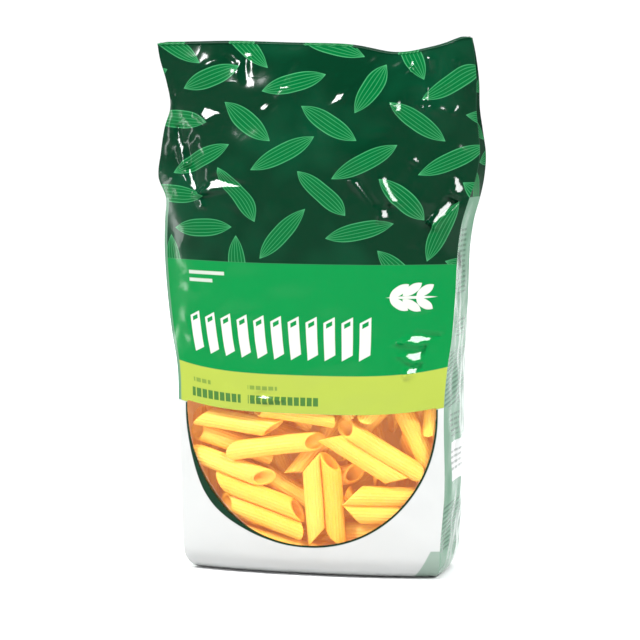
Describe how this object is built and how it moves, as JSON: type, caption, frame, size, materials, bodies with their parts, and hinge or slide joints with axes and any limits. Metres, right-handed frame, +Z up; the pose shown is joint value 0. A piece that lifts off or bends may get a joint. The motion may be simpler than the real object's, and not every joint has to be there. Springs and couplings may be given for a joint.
{
  "type": "pasta packet",
  "caption": "Upright gusseted film bag of dry penne with a round-bottomed clear window low on its front and a folded, crumpled top.",
  "frame": {"origin": "the middle of the packet's footprint, on the plane it stands on", "axes": "+Z up along the packet's height, -Y towards the printed front with the window, +X to the right of the front as it is looked at"},
  "size_m": [0.1662, 0.0728, 0.2667],
  "materials": {
    "film": "glossy printed film, dark green top, bright green and yellow-green bands, pale mint sides and back",
    "pasta": "matt, slightly waxy dry pasta"
  },
  "bodies": {
    "root": {"bag": "film", "penne": "pasta"}
  },
  "joints": []
}
